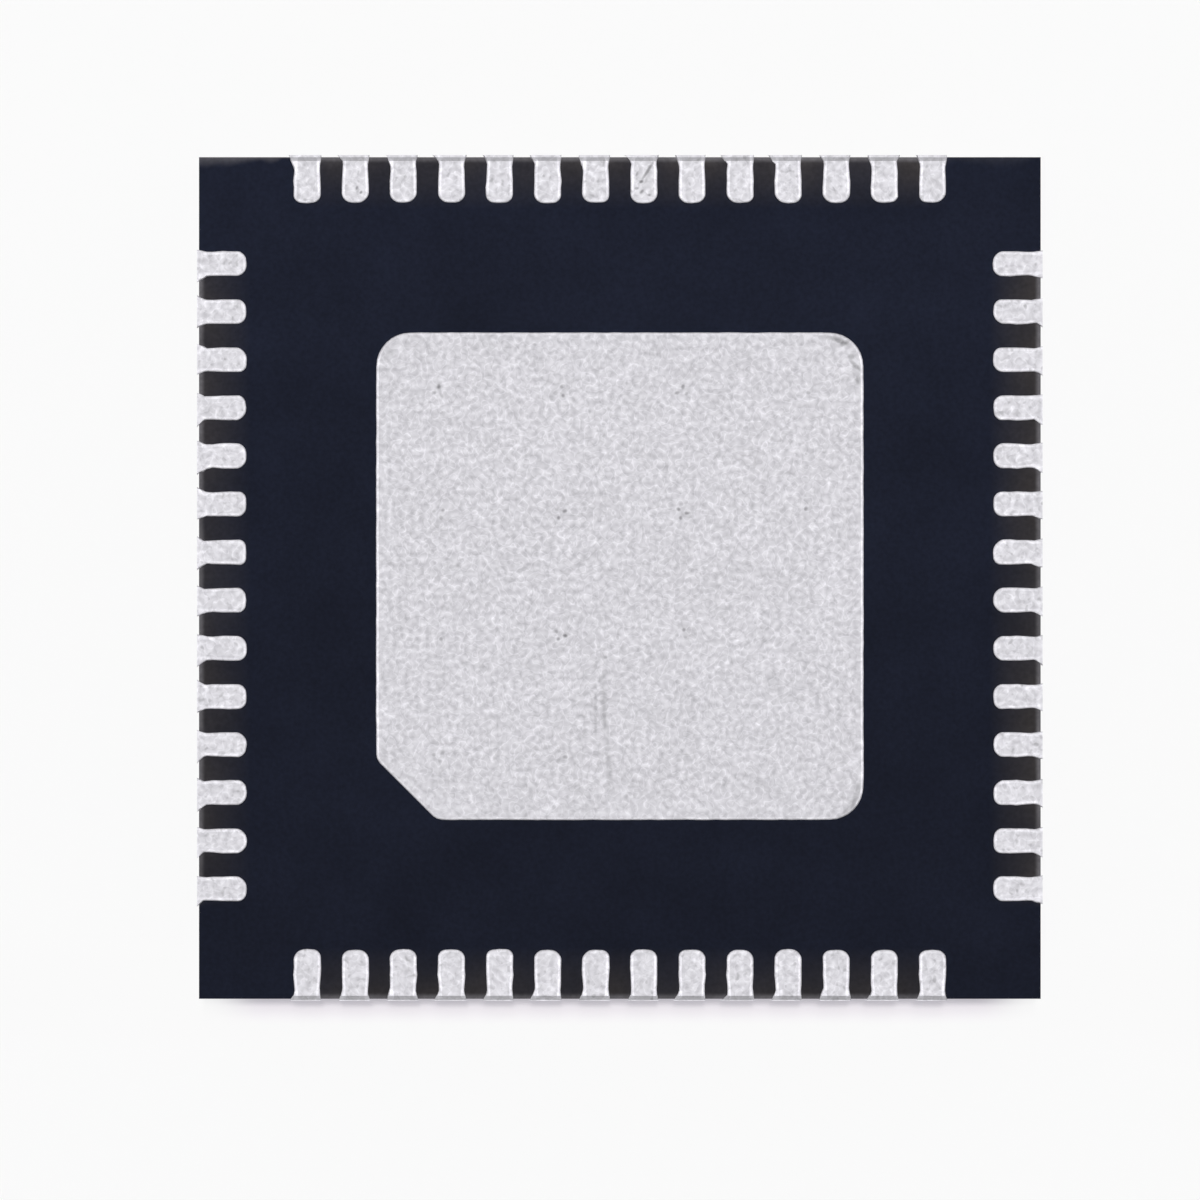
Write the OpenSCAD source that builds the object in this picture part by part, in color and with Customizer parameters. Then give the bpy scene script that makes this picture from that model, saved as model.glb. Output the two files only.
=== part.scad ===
// Quad flat no-lead chip package, sawn type, lying on its marking face with its terminals up.
// Millimetres. The origin is the centre of the marking face, and +Z points out of the terminal side.

/* [Package] */
// Side of the square moulded body
body_w = 7; // [6.8:0.05:9]
// Height from the marking face to the plane of the terminals
body_h = 0.85; // [0.75:0.05:1.2]
// Height of the terminals above the moulded face round them
standoff = 0.02; // [0.01:0.005:0.05]
// Diameter of the pin 1 dimple on the marking face
dimple_d = 0.5; // [0.3:0.05:0.8]
// Depth of the pin 1 dimple
dimple_depth = 0.03; // [0.01:0.005:0.06]
// Distance of the pin 1 dimple from both edges of the body
dimple_inset = 0.6; // [0.45:0.05:1]

/* [Lead frame] */
// Thickness of the copper sheet with its plating
frame_t = 0.203; // [0.15:0.001:0.25]
// Thickness left where the sheet is half etched from its terminal side
etched_t = 0.1; // [0.06:0.005:0.12]
// Shift of the lead frame towards +Y from the middle of the sawn body
frame_shift = 0.015; // [-0.03:0.005:0.03]

/* [Leads] */
// Distance between the centre lines of neighbouring leads
pitch = 0.4; // [0.36:0.01:0.65]
// Least distance of the outermost leads' centre lines from the body's corners
corner_margin = 0.88; // [0.85:0.01:1.2]
// Width of the lands along the +Y and -Y sides
row_land_w = 0.222; // [0.18:0.002:0.25]
// Width of the lands along the -X and +X sides
column_land_w = 0.204; // [0.18:0.002:0.25]
// Length of a land from the body's side to its tip
land_l = 0.39; // [0.3:0.01:0.5]
// Radius of the two corners of a land's tip
tip_r = 0.08; // [0.03:0.005:0.085]
// How much narrower a land is at its sawn end
waist = 0.022; // [0:0.002:0.04]
// Length of the waisted stretch from the body's side
waist_l = 0.2; // [0.1:0.01:0.2]
// Length of the buried tab past the land's tip
tab_l = 0.18; // [0.1:0.01:0.22]
// Width of the buried tab
tab_w = 0.16; // [0.1:0.01:0.17]
// Radius of the corners of the buried tab
tab_r = 0.05; // [0.02:0.005:0.05]

/* [Saw marks] */
// How far the sawn ends stand out of the body's sides
end_proud = 0.015; // [0.005:0.005:0.03]
// Longest burr along the side, smeared out of a land by the saw
burr_l = 0.045; // [0.02:0.005:0.06]
// Shortest burr, as a share of the longest
burr_least = 0.45; // [0.2:0.05:1]
// Depth of a burr from the sawn end
burr_depth = 0.05; // [0.02:0.005:0.08]
// Chamfer where the saw rolled the land's edge over
rollover = 0.012; // [0.004:0.002:0.018]

/* [Paddle] */
// Side of the exposed pad
pad_w = 4.05; // [3.4:0.05:4.4]
// Radius of the exposed pad's corners
pad_r = 0.28; // [0.1:0.02:0.4]
// Leg of the chamfer that marks pin 1
pad_chamfer = 0.5; // [0.3:0.05:0.8]
// Radius at both ends of that chamfer
chamfer_r = 0.1; // [0.05:0.01:0.2]
// Width of the buried rim round the exposed pad
rim_w = 0.15; // [0.08:0.01:0.2]
// Width of the four buried tie bars
tie_w = 0.15; // [0.08:0.01:0.16]

/* [Die and wires] */
// Side of the square die
die_w = 3; // [2:0.1:3.4]
// Thickness of the die
die_t = 0.2; // [0.1:0.01:0.25]
// Distance of the bond pads from the die's edge
bond_inset = 0.1; // [0.06:0.01:0.2]
// Distance of the outermost bond pads from the die's corners
bond_margin = 0.26; // [0.15:0.01:0.4]
// Diameter of the wire
wire_d = 0.025; // [0.018:0.001:0.033]
// Diameter of the ball bond on the die
ball_d = 0.06; // [0.04:0.005:0.075]
// Height of the ball bond with its neck
ball_h = 0.028; // [0.02:0.002:0.04]
// Height of the loop above the die
loop_h = 0.14; // [0.1:0.01:0.18]
// Size of the bend at the top of the loop
loop_bend = 0.05; // [0.03:0.005:0.06]
// Length of the wire's flat stitch on the lead
stitch_l = 0.07; // [0.04:0.005:0.09]
// Thickness of the stitch at its end
stitch_t = 0.008; // [0.004:0.001:0.012]
// Distance of the stitch's end from the tab's inner end
stitch_reach = 0.13; // [0.1:0.01:0.2]

/* [Hidden] */
$fn = 48;
sides = 4;
per_side = 1 + floor((body_w - 2 * corner_margin) / pitch);
lead_count = sides * per_side;
burr_seed = 7;
wire_sides = 6;
cut_clear = 0.05;

half_body = body_w / 2;
mold_h = body_h - standoff;
frame_z = body_h - frame_t;
die_z = frame_z - die_t;
bond_pitch = (die_w - 2 * bond_margin) / (per_side - 1);
burr_share = rands(burr_least, 1, lead_count, burr_seed);
back_burr_share = rands(0, burr_least, lead_count, burr_seed + 1);

mold_colour = "#1f222e";
tin_colour = "#dadade";
silicon_colour = "#565c68";
gold_colour = "#d9b04a";

// Leads are numbered clockwise, seen from the terminal side, from the -Y end of the -X side.
function lead_name(i) = str("lead_", i < 10 ? "0" : "", i);
function side_of(i) = floor((i - 1) / per_side);
function place_of(i) = (i - 1) % per_side - (per_side - 1) / 2;
function land_w(i) = side_of(i) % 2 == 0 ? column_land_w : row_land_w;

// The frame's shift, seen from one side's own frame, in which the leads point towards -X.
function shift_in(side) = frame_shift * [-sin(90 * side), cos(90 * side)];
function lead_y(i) = place_of(i) * pitch + shift_in(side_of(i)).y;
function tip_x(i) = land_l - half_body + shift_in(side_of(i)).x;
function tab_x(i) = tip_x(i) + tab_l;

// A convex outline from corners of [x, y, radius], each rounded by a true arc.
function unit(v) = v / norm(v);
function corner(c, i) = let (p = c[(i + len(c)) % len(c)]) [p.x, p.y];
function towards(c, i, step) = step == 0 ? [0, 0] : unit(corner(c, i + step) - corner(c, i));
function half_angle(c, i) = acos(towards(c, i, -1) * towards(c, i, 1)) / 2;
function arc_centre(c, i) =
    corner(c, i) + unit(towards(c, i, -1) + towards(c, i, 1)) * c[i].z / sin(half_angle(c, i));

module rounded(c) {
    polygon([
        for (i = [0 : len(c) - 1], step = c[i].z > 0 ? [-1, 1] : [0])
            corner(c, i) + towards(c, i, step) * c[i].z / tan(half_angle(c, i))
    ]);
    for (i = [0 : len(c) - 1])
        if (c[i].z > 0) translate(arc_centre(c, i)) circle(r = c[i].z);
}

// One lead in its side's own frame: land, buried tab and saw burrs.
module lead_shape(i) {
    end_x = -half_body - end_proud;
    half_w = land_w(i) / 2;
    half_waist = half_w - waist / 2;
    waist_x = waist_l - half_body;
    forward = side_of(i) < sides / 2 ? -1 : 1;
    burr = burr_l * burr_share[i - 1];
    back_burr = burr_l * back_burr_share[i - 1];

    translate([0, lead_y(i), 0]) difference() {
        union() {
            translate([0, 0, frame_z]) linear_extrude(frame_t) rounded([
                [end_x, -half_waist, 0], [waist_x, -half_w, 0], [tip_x(i), -half_w, tip_r],
                [tip_x(i), half_w, tip_r], [waist_x, half_w, 0], [end_x, half_waist, 0]
            ]);
            translate([0, 0, frame_z]) linear_extrude(etched_t) rounded([
                [waist_x, -tab_w / 2, 0], [tab_x(i), -tab_w / 2, tab_r],
                [tab_x(i), tab_w / 2, tab_r], [waist_x, tab_w / 2, 0]
            ]);
            translate([0, 0, mold_h]) linear_extrude(standoff) polygon([
                [end_x, forward * (half_waist + burr)], [end_x + burr_depth, forward * half_waist],
                [end_x + burr_depth, -forward * half_waist], [end_x, -forward * (half_waist + back_burr)]
            ]);
        }
        translate([end_x, 0, body_h]) rotate([0, 45, 0])
            cube([rollover * sqrt(2), pitch, rollover * sqrt(2)], center = true);
    }
}

module lead(i) {
    color(tin_colour) rotate([0, 0, -90 * side_of(i)]) lead_shape(i);
}

module pad_outline(grow) {
    half = pad_w / 2 + grow;
    cut = pad_chamfer + grow * (2 - sqrt(2));
    rounded([
        [half, -half, pad_r + grow], [half, half, pad_r + grow], [-half, half, pad_r + grow],
        [-half, cut - half, chamfer_r + grow], [cut - half, -half, chamfer_r + grow]
    ]);
}

module die_paddle() {
    reach = half_body * sqrt(2) + tie_w;
    color(tin_colour) intersection() {
        translate([0, frame_shift, frame_z]) {
            linear_extrude(frame_t) pad_outline(0);
            linear_extrude(etched_t) {
                pad_outline(rim_w);
                for (turn = [45 : 90 : 315]) rotate(turn) translate([0, -tie_w / 2]) square([reach, tie_w]);
            }
        }
        translate([-half_body, -half_body, 0]) cube([body_w, body_w, body_h + cut_clear]);
    }
}

module die() {
    color(silicon_colour) translate([-die_w / 2, frame_shift - die_w / 2, die_z]) cube([die_w, die_w, die_t]);
}

// Sections of one wire along its run: place along the run, height, slope, half height and half width.
function wire_sections(run) = let (
    r = wire_d / 2,
    top = die_z - loop_h,
    heel = run - stitch_l,
    down = -90,
    bend = -45,
    climb = atan2(frame_z - top, heel - loop_bend)
) [
    [0, die_z, down, ball_d / 2, ball_d / 2],
    [0, die_z - ball_h, down, r, r],
    [0, top + loop_bend, (down + bend) / 2, r, r],
    [loop_bend, top, (bend + climb) / 2, r, r],
    [heel, frame_z - r, 0, r, r],
    [run, frame_z - stitch_t / 2, 0, stitch_t / 2, wire_d]
];

// The corners of one section. Two of its flats lie above and below the wire, so a stitch is flat on its lead.
function section_ring(s) = [
    for (k = [0 : wire_sides - 1]) let (
        turn = 360 * (k + 0.5) / wire_sides,
        rise = s[3] * cos(turn) / cos(180 / wire_sides),
        across = s[4] * sin(turn)
    ) [s[0] - rise * sin(s[2]), across, s[1] + rise * cos(s[2])]
];

module swept(rings) {
    n = wire_sides;
    last = (len(rings) - 1) * n;
    polyhedron(
        points = [for (ring = rings) each ring],
        faces = concat(
            [[for (k = [n - 1 : -1 : 0]) k]],
            [[for (k = [0 : n - 1]) last + k]],
            [for (j = [0 : n : last - n], k = [0 : n - 1]) [j + k, j + (k + 1) % n, j + n + k]],
            [for (j = [0 : n : last - n], k = [0 : n - 1]) [j + n + k, j + (k + 1) % n, j + n + (k + 1) % n]]
        )
    );
}

module wire(i) {
    shift = shift_in(side_of(i));
    start = [bond_inset - die_w / 2 + shift.x, place_of(i) * bond_pitch + shift.y];
    end = [tab_x(i) - stitch_reach, lead_y(i)];
    span = end - start;
    rotate(-90 * side_of(i)) translate(start) rotate(atan2(span.y, span.x))
        swept([for (s = wire_sections(norm(span))) section_ring(s)]);
}

module bond_wires() {
    color(gold_colour) for (i = [1 : lead_count]) wire(i);
}

module pin_one_dimple() {
    place = dimple_inset - half_body;
    translate([place, place, -cut_clear]) cylinder(d = dimple_d, h = dimple_depth + cut_clear);
}

// The compound fills the block round every other piece.
module mold_body() {
    color(mold_colour) difference() {
        translate([-half_body, -half_body, 0]) cube([body_w, body_w, mold_h]);
        pin_one_dimple();
        for (i = [1 : lead_count]) lead(i);
        die_paddle();
        die();
        bond_wires();
    }
}

mold_body();
die_paddle();
die();
bond_wires();
for (i = [1 : lead_count]) lead(i);
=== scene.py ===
"""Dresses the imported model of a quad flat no-lead chip, terminal side up, and lights it for its picture."""

import itertools
import logging
import math
import random
from dataclasses import dataclass
from enum import Enum, IntEnum

import bmesh
import bpy
from bmesh.types import BMEdge, BMesh, BMFace, BMVert
from bpy.types import Material, Node, NodeSocket, NodeTree, Object
from mathutils import Matrix, Vector

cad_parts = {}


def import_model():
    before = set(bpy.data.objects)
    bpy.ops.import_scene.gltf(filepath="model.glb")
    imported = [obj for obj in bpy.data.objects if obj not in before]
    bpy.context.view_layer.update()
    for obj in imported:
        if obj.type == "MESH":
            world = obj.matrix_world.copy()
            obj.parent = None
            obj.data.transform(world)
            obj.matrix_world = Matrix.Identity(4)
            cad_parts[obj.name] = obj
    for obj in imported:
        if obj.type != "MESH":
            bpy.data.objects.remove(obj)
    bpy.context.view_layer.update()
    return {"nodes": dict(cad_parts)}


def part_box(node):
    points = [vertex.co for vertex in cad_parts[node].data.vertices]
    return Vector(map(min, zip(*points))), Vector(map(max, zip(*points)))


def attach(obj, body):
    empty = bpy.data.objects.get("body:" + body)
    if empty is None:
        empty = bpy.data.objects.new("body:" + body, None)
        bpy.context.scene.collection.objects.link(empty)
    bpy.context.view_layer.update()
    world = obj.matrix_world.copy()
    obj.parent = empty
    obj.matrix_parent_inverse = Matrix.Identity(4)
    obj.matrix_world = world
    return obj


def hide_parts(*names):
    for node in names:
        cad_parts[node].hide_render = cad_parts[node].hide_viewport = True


LOG = logging.getLogger("chip_scene")
BODY = "root"
RIM_HIGHLIGHT = "rim"
MM = 0.001
NEAR = 1e-4
# Cosines from which a face counts as facing an axis, or the diagonal of a tie bar.
FLAT = 0.99
DIAGONAL = 0.9
SHARP_FROM = math.radians(20)
ROUNDING_SEGMENTS = 2
# Power by which the painted highlight of a rim falls off where its outline turns away from an axis.
RIM_HIGHLIGHT_FOCUS = 6
# Mean of a noise, and the range in which most of its values lie.
NOISE_MEAN = 0.5
NOISE_SPAN = (0.25, 0.75)


class Side(IntEnum):
    """The body's sides in the order in which the leads are counted."""

    LEFT = 0
    TOP = 1
    RIGHT = 2
    BOTTOM = 3


class Slot(Enum):
    """The record's material slots for new pieces."""

    TIN = "tin_plated_copper"


class Skin(IntEnum):
    """Material slots of a lead frame piece."""

    PLATED = 0
    SAWN = 1
    FILM = 2


def linear(code: str) -> tuple[float, float, float, float]:
    """Turns an sRGB hex colour to linear light.

    Args:
        code: Colour as #rrggbb.

    Returns:
        Red, green, blue and an alpha of one.
    """
    parts = [int(code[i : i + 2], 16) / 255 for i in (1, 3, 5)]
    light = [p / 12.92 if p <= 0.04045 else ((p + 0.055) / 1.055) ** 2.4 for p in parts]
    return light[0], light[1], light[2], 1.0


def around(middle: float, swing: float) -> tuple[float, float]:
    """Gives the two ends of a swing about a middle value."""
    return middle - swing, middle + swing


def add_node(tree: NodeTree, kind: str, inputs: dict | tuple = (), **settings: object) -> Node:
    """Adds a shader node with its settings and what feeds it.

    Args:
        tree: Node tree that takes the node.
        kind: Node type, without its ShaderNode prefix.
        inputs: Values, sockets, or nodes whose first output is meant. They are given by input name or number,
            or in the order of the node's own inputs. For a map range that is the value, the range it comes
            from and the range it is mapped to.
        settings: Attributes of the node.

    Returns:
        The new node.
    """
    node = tree.nodes.new("ShaderNode" + kind)
    for name, value in settings.items():
        setattr(node, name, value)
    for key, value in inputs.items() if isinstance(inputs, dict) else enumerate(inputs):
        feed = value.outputs[0] if isinstance(value, Node) else value
        if isinstance(feed, NodeSocket):
            tree.links.new(feed, node.inputs[key])
        else:
            node.inputs[key].default_value = feed
    return node


def verts_of(made: list) -> list[BMVert]:
    """Picks the vertices out of what a mesh operation has made."""
    return [item for item in made if isinstance(item, BMVert)]


def new_material(name: str) -> tuple[Material, NodeTree, Node]:
    """Starts a material that measures its object in millimetres.

    Args:
        name: Name of the material.

    Returns:
        The material, its empty node tree and the place on the object in millimetres.
    """
    material = bpy.data.materials.new(name)
    material.use_nodes = True
    tree = material.node_tree
    tree.nodes.clear()
    where = add_node(tree, "TexCoord").outputs["Object"]
    place = add_node(tree, "VectorMath", {0: where, "Scale": 1 / MM}, operation="SCALE")
    return material, tree, place


@dataclass(frozen=True)
class Package:
    """Sizes in millimetres that the pieces share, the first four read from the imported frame."""

    body_w: float
    mould_z: float
    body_h: float
    frame_z: float
    etched_t: float = 0.1
    frame_shift: float = 0.015
    per_side: int = 14
    pitch: float = 0.4

    @classmethod
    def from_frame(cls) -> "Package":
        """Reads the moulded block and the paddle.

        Returns:
            The sizes of this package.
        """
        low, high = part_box("mold_body")
        paddle_low, paddle_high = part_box("die_paddle")
        return cls((high.x - low.x) / MM, high.z / MM, paddle_high.z / MM, paddle_low.z / MM)

    @property
    def half_body(self) -> float:
        """Half the side of the block."""
        return self.body_w / 2

    @property
    def etched_z(self) -> float:
        """Height at which the half-etched sheet ends."""
        return self.frame_z + self.etched_t


@dataclass(frozen=True)
class Mark:
    """A small mark on the plating: an ellipse on the terminal side, in millimetres, with soft edges.

    Its depth is the share of light that it takes. The fade is where the mark starts to weaken and where it
    ends, as shares of the ellipse.
    """

    x: float
    y: float
    half_length: float
    half_width: float
    turn: float
    depth: float
    fade: tuple[float, float] = (0.3, 1.3)


@dataclass(frozen=True)
class SocketPins:
    """Crown tipped pins of a test socket, which dent the pad. Lengths are in millimetres.

    They press hardest at one place, in pitches from the middle of their grid. More than a pitch away from it
    the dents get fainter.
    """

    per_row: int = 4
    pitch: float = 1.01
    grid_x: float = 0.01
    grid_y: float = 0.035
    prongs: int = 3
    prong_stray: float = 0.4
    crown_r: float = 0.042
    dent_r: float = 0.016
    dent_stretch: float = 1.5
    shallow: float = 0.1
    deep: float = 0.46
    hardest: tuple[float, float] = (-0.5, 0.5)
    fall: float = 0.42
    seed: int = 11

    def marks(self) -> tuple[Mark, ...]:
        """Places the dents.

        Returns:
            The dents of all pins.
        """
        rng = random.Random(self.seed)
        places = [index - (self.per_row - 1) / 2 for index in range(self.per_row)]
        marks = []
        for column, row in itertools.product(places, repeat=2):
            away = (Vector((column, row)) - Vector(self.hardest)).length
            press = 1 - self.fall * max(0.0, away - 1)
            first = rng.uniform(0, math.tau)
            for prong in range(self.prongs):
                stray = rng.uniform(-self.prong_stray, self.prong_stray)
                turn = first + prong * math.tau / self.prongs + stray
                x = self.grid_x + column * self.pitch + self.crown_r * math.cos(turn)
                y = self.grid_y + row * self.pitch + self.crown_r * math.sin(turn)
                depth = press * rng.uniform(self.shallow, self.deep)
                stretch = rng.uniform(1, self.dent_stretch)
                marks.append(Mark(x, y, self.dent_r * stretch, self.dent_r, turn, depth))
        return tuple(marks)


PAD_SCUFFS = (
    Mark(-0.2, -1.1, 0.25, 0.016, math.pi / 2, 0.1),
    Mark(-0.15, -0.83, 0.06, 0.018, 1.0, 0.14),
    Mark(-0.13, -1.1, 0.29, 0.034, math.pi / 2 + 0.06, 0.12),
    Mark(-0.128, -1.13, 0.16, 0.015, math.pi / 2 + 0.04, 0.09),
    Mark(-0.09, -1.6, 0.24, 0.03, math.pi / 2 + 0.05, 0.13),
    Mark(-0.12, -0.66, 0.02, 0.016, 0.5, 0.2),
    Mark(1.76, 1.995, 0.06, 0.022, -0.1, 0.17),
    Mark(1.83, 1.97, 0.08, 0.022, -0.3, 0.34),
    Mark(1.857, 1.947, 0.032, 0.024, 0.3, 0.3),
    Mark(1.89, 1.963, 0.026, 0.02, 0.8, 0.26),
    Mark(1.925, 1.84, 0.034, 0.024, 0.2, 0.28),
    Mark(1.96, 1.765, 0.06, 0.021, -0.8, 0.34),
    Mark(1.98, 1.645, 0.04, 0.022, 1.5, 0.24),
    Mark(1.97, -1.8, 0.13, 0.028, 1.3, 0.2),
    Mark(1.925, -1.87, 0.045, 0.03, 0.8, 0.16),
    Mark(1.89, -1.94, 0.09, 0.024, 0.75, 0.18),
    Mark(-1.9, 1.87, 0.05, 0.025, 0.7, 0.14),
)

LAND_SCRATCHES = (
    Mark(0.232, 3.385, 0.095, 0.014, 1.0, 0.42),
    Mark(0.178, 3.295, 0.02, 0.014, 0.4, 0.5),
    Mark(0.14, 3.24, 0.02, 0.013, 0.2, 0.36),
    Mark(0.182, 3.212, 0.026, 0.013, 0.8, 0.36),
    Mark(0.245, 3.185, 0.016, 0.012, 0, 0.3),
    Mark(0.142, 3.36, 0.022, 0.012, 1.2, 0.26),
    Mark(-2.186, 3.243, 0.02, 0.012, 1.3, 0.36),
    Mark(-2.153, 3.206, 0.016, 0.012, 0.9, 0.42),
)


@dataclass(frozen=True)
class MattTin:
    """Matt tin, electroplated on copper. Lengths are in millimetres."""

    name: str
    marks: tuple[Mark, ...]
    colour: str = "#d7d6da"
    roughness: float = 0.77
    roughness_swing: float = 0.05
    cloud: float = 0.2
    cloud_swing: float = 0.034
    # Gain of the painted highlight along the rims.
    rim_highlight_gain: float = 0.25
    # Real crystals are about 0.005 mm wide. What is below is drawn coarser, so that it shows.
    grain: float = 0.045
    grain_span: tuple[float, float] = (0.2, 0.8)
    grain_swing: float = 0.036
    track: float = 0.07
    track_w: float = 0.045
    track_lift: float = 0.084
    furrow: float = 0.06
    detail: float = 0.55
    pit: float = 0.045
    pit_detail: float = 1.5
    pit_height: float = 0.0009
    speckle: float = 0.04
    pore_span: tuple[float, float] = (0.18, 0.36)
    pore_depth: float = 0.07
    glint_span: tuple[float, float] = (0.68, 0.8)
    glint: float = 0.08

    def material(self) -> Material:
        """Makes the plating.

        It is a soft pale grey, because its crystals scatter the light. Each crystal catches a little more or
        less of it, which shows as a fine grain. A painted highlight brightens the rims.

        Returns:
            The material.
        """
        material, tree, place = new_material(self.name)
        grain = add_node(tree, "TexNoise", {"Vector": place, "Scale": 1 / self.grain, "Detail": self.detail})
        grains = (grain, *self.grain_span)
        shade = add_node(tree, "MapRange", (*grains, *around(1, self.grain_swing)), clamp=False)
        shade = self.crossed(tree, place, shade)
        shade = self.speckled(tree, place, shade)
        # A painted highlight brightens the rims of the plating.
        rim = add_node(tree, "Attribute", attribute_name=RIM_HIGHLIGHT).outputs["Fac"]
        highlight_gain = add_node(tree, "Math", (rim, self.rim_highlight_gain, 1.0), operation="MULTIPLY_ADD")
        shade = add_node(tree, "Math", (shade, highlight_gain), operation="MULTIPLY")
        for mark in self.marks:
            shade = self.worn(tree, place, mark, shade)
        colour = add_node(tree, "VectorMath", {0: linear(self.colour)[:3], "Scale": shade}, operation="SCALE")
        rough = add_node(tree, "MapRange", (*grains, *around(self.roughness, -self.roughness_swing)))
        pits = add_node(tree, "TexNoise", {"Vector": place, "Scale": 1 / self.pit, "Detail": self.pit_detail})
        normal = add_node(tree, "Bump", {"Height": pits, "Distance": self.pit_height * MM})
        finish = {"Base Color": colour, "Metallic": 1.0, "Roughness": rough, "Normal": normal}
        shader = add_node(tree, "BsdfPrincipled", finish)
        add_node(tree, "OutputMaterial", {"Surface": shader})
        return material

    def crossed(self, tree: NodeTree, place: Node, shade: Node) -> Node:
        """Draws pale tracks and dark furrows that wander between the crystals.

        Args:
            tree: Node tree of the material.
            place: Place on the object in millimetres.
            shade: Brightness so far.

        Returns:
            Brightness with the tracks and furrows in it.
        """
        for layer, lift in enumerate((self.track_lift, -self.furrow)):
            wander = add_node(
                tree,
                "TexNoise",
                {"Vector": place, "W": layer, "Scale": 1 / self.track, "Detail": self.detail},
                noise_dimensions="4D",
            )
            stray = add_node(tree, "Math", (wander, NOISE_MEAN), operation="SUBTRACT")
            stray = add_node(tree, "Math", (stray,), operation="ABSOLUTE")
            edges = (stray, 0.0, self.track_w, 1.0, 0.0)
            track = add_node(tree, "MapRange", edges, interpolation_type="SMOOTHSTEP")
            shade = add_node(tree, "Math", (track, lift, shade), operation="MULTIPLY_ADD")
        return shade

    def speckled(self, tree: NodeTree, place: Node, shade: Node) -> Node:
        """Clouds the plating a little and sprinkles it with dark pores and bright glints.

        Args:
            tree: Node tree of the material.
            place: Place on the object in millimetres.
            shade: Brightness so far.

        Returns:
            Brightness with the clouds, pores and glints in it.
        """
        cloud = add_node(tree, "TexNoise", {"Vector": place, "Scale": 1 / self.cloud, "Detail": 2.0})
        cloud = add_node(tree, "MapRange", (cloud, *NOISE_SPAN, *around(1, self.cloud_swing)))
        shade = add_node(tree, "Math", (shade, cloud), operation="MULTIPLY")
        speckle = add_node(
            tree,
            "TexNoise",
            {"Vector": place, "Scale": 1 / self.speckle, "Detail": 0.0},
            noise_dimensions="4D",
        )
        pores = (speckle, *self.pore_span, 1 - self.pore_depth, 1.0)
        glints = (speckle, *self.glint_span, 1.0, 1 + self.glint)
        for edges in (pores, glints):
            spots = add_node(tree, "MapRange", edges, interpolation_type="SMOOTHSTEP")
            shade = add_node(tree, "Math", (shade, spots), operation="MULTIPLY")
        return shade

    @staticmethod
    def worn(tree: NodeTree, place: Node, mark: Mark, shade: Node) -> Node:
        """Darkens the plating under one mark.

        Args:
            tree: Node tree of the material.
            place: Place on the object in millimetres.
            mark: The mark.
            shade: Brightness so far.

        Returns:
            Brightness with the mark in it.
        """
        flat = add_node(tree, "VectorMath", (place, (1, 1, 0)), operation="MULTIPLY")
        ellipse = {
            "Vector": flat,
            "Location": (mark.x, mark.y, 0),
            "Rotation": (0, 0, mark.turn),
            "Scale": (mark.half_length, mark.half_width, 1),
        }
        local = add_node(tree, "Mapping", ellipse, vector_type="TEXTURE")
        reach = add_node(tree, "VectorMath", (local,), operation="LENGTH").outputs["Value"]
        edges = (reach, *mark.fade, 1 - mark.depth, 1.0)
        kept = add_node(tree, "MapRange", edges, interpolation_type="SMOOTHSTEP")
        return add_node(tree, "Math", (shade, kept), operation="MULTIPLY")


@dataclass(frozen=True)
class SawnCopper:
    """Copper cut by a dicing saw. Lengths are in millimetres."""

    name: str = "copper_cut_by_dicing_saw"
    colour: str = "#b98467"
    smear: str = "#b9b4b2"
    roughness: float = 0.42
    roughness_swing: float = 0.1
    line: float = 0.012
    line_run: float = 0.4
    line_height: float = 0.001
    patch: float = 0.09
    smear_span: tuple[float, float] = (0.5, 0.68)
    smear_most: float = 0.75

    def material(self) -> Material:
        """Makes the cut ends: salmon pink metal with lines along the cut and grey tin smeared over it.

        Returns:
            The material.
        """
        material, tree, place = new_material(self.name)
        fine = (1 / self.line_run, 1 / self.line_run, 1 / self.line)
        along = add_node(tree, "VectorMath", (place, fine), operation="MULTIPLY")
        lines = add_node(tree, "TexNoise", {"Vector": along, "Scale": 1.0, "Detail": 3.0})
        patches = add_node(tree, "TexNoise", {"Vector": place, "Scale": 1 / self.patch, "Detail": 3.0})
        cover = add_node(tree, "MapRange", (patches, *self.smear_span, 0.0, self.smear_most))
        metals = {0: cover, 6: linear(self.colour), 7: linear(self.smear)}
        colour = add_node(tree, "Mix", metals, data_type="RGBA").outputs[2]
        rough = add_node(tree, "MapRange", (lines, 0.0, 1.0, *around(self.roughness, self.roughness_swing)))
        normal = add_node(tree, "Bump", {"Height": lines, "Distance": self.line_height * MM})
        finish = {"Base Color": colour, "Metallic": 1.0, "Roughness": rough, "Normal": normal}
        shader = add_node(tree, "BsdfPrincipled", finish)
        add_node(tree, "OutputMaterial", {"Surface": shader})
        return material


@dataclass(frozen=True)
class BlockPlace:
    """Where a point of the block is, as nodes and sockets that give millimetres.

    The inset is its distance from the nearest sawn side, and the lane is its distance from the middle along
    that side. Upper is one on the terminal side and zero elsewhere.
    """

    tree: NodeTree
    place: Node
    x: NodeSocket
    y: NodeSocket
    inset: Node
    lane: Node
    upper: Node

    @classmethod
    def measure(cls, tree: NodeTree, place: Node, half_body: float, face_z: float) -> "BlockPlace":
        """Measures the place against the block.

        Args:
            tree: Node tree of the material.
            place: Place on the object in millimetres.
            half_body: Half the side of the block.
            face_z: Height of the terminal side.

        Returns:
            The measures.
        """
        axes = add_node(tree, "SeparateXYZ", (place,)).outputs
        wide = add_node(tree, "Math", (axes["X"],), operation="ABSOLUTE")
        deep = add_node(tree, "Math", (axes["Y"],), operation="ABSOLUTE")
        outward = add_node(tree, "Math", (wide, deep), operation="MAXIMUM")
        inset = add_node(tree, "Math", (half_body, outward), operation="SUBTRACT")
        lane = add_node(tree, "Math", (wide, deep), operation="MINIMUM")
        upper = add_node(tree, "Math", (axes["Z"], face_z - NEAR), operation="GREATER_THAN")
        return cls(tree, place, axes["X"], axes["Y"], inset, lane, upper)


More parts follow.
